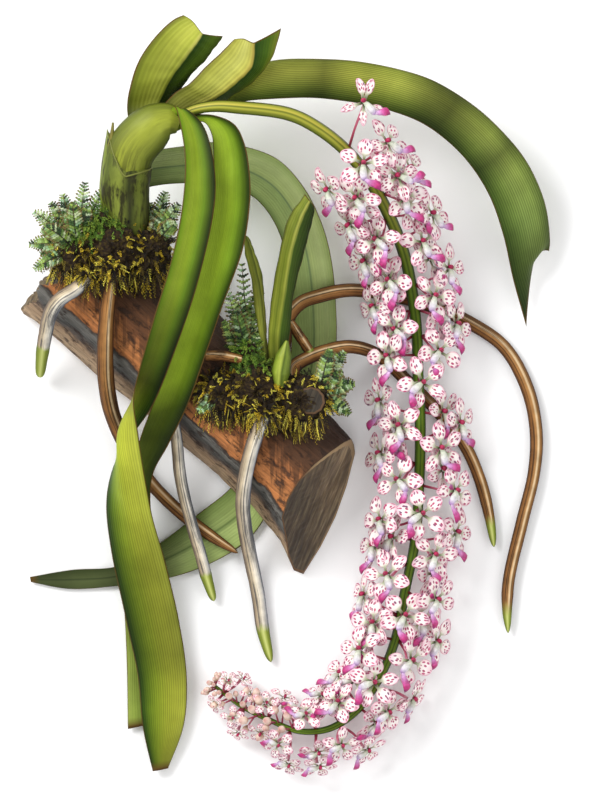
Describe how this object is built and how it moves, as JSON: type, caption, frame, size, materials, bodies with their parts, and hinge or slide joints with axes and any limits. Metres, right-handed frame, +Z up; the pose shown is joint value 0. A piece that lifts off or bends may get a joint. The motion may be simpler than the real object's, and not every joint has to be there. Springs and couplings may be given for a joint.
{
  "type": "foxtail orchid on a log",
  "caption": "Orchid with strap leaves, grey and brown aerial roots and a drooping dense raceme of spotted flowers, growing on a short split log with moss and small ferns, laid flat.",
  "frame": {"origin": "a point on the flat underside of the log, at the middle of its longer foot, on the surface that it rests on", "axes": "+Z up off the surface and towards the viewer of the picture, +Y towards the top of the picture, +X towards its right"},
  "size_m": [0.2652, 0.3806, 0.0805],
  "materials": {
    "bark_and_wood": "rough bark, weathered split wood",
    "stem_green": "waxy olive green leaf base",
    "leaf_green": "waxy green, fine ribs",
    "leaf_olive": "waxy light olive",
    "leaf_grey_green": "dull grey green, fine ribs",
    "root_grey": "corky grey white, green tip",
    "root_brown": "corky brown, ridged",
    "moss_and_fern": "moss and small fern fronds",
    "stalk_green": "ribbed yellow green",
    "petal": "white and pink, magenta spots"
  },
  "bodies": {
    "root": {"log": "bark_and_wood", "main_stem": "stem_green", "front_leaf_turned": "leaf_green", "front_leaf_beside": "leaf_green", "short_leaf_right": "leaf_olive", "short_leaf_up": "leaf_olive", "long_leaf_right": "leaf_green", "leaf_behind": "leaf_grey_green", "young_leaf_broad": "leaf_green", "young_leaf_narrow": "leaf_green", "young_bud": "stem_green", "grey_root_left": "root_grey", "brown_root_left": "root_brown", "grey_root_middle": "root_grey", "grey_root_right": "root_grey", "long_root_upper": "root_brown", "long_root_lower": "root_brown", "twig_left": "root_brown", "moss_and_ferns_upper": "moss_and_fern", "moss_and_ferns_lower": "moss_and_fern", "flower_stalk": "stalk_green", "flowers_01": "petal", "flowers_02": "petal", "flowers_03": "petal", "flowers_04": "petal", "flowers_05": "petal", "flowers_06": "petal", "flowers_07": "petal", "flowers_08": "petal", "flowers_09": "petal", "flowers_10": "petal", "flowers_11": "petal", "flowers_12": "petal", "flowers_13": "petal", "flowers_14": "petal", "flowers_15": "petal", "flowers_16": "petal", "flowers_17": "petal", "flowers_18": "petal", "flowers_19": "petal", "flowers_20": "petal", "flowers_21": "petal", "flowers_22": "petal", "flowers_23": "petal", "flowers_24": "petal", "flowers_25": "petal", "flowers_26": "petal", "flowers_27": "petal", "flowers_28": "petal", "flowers_29": "petal", "flowers_30": "petal", "flowers_31": "petal", "flowers_32": "petal", "flowers_33": "petal", "flowers_34": "petal", "flowers_35": "petal", "flowers_36": "petal", "flowers_37": "petal"}
  },
  "joints": []
}
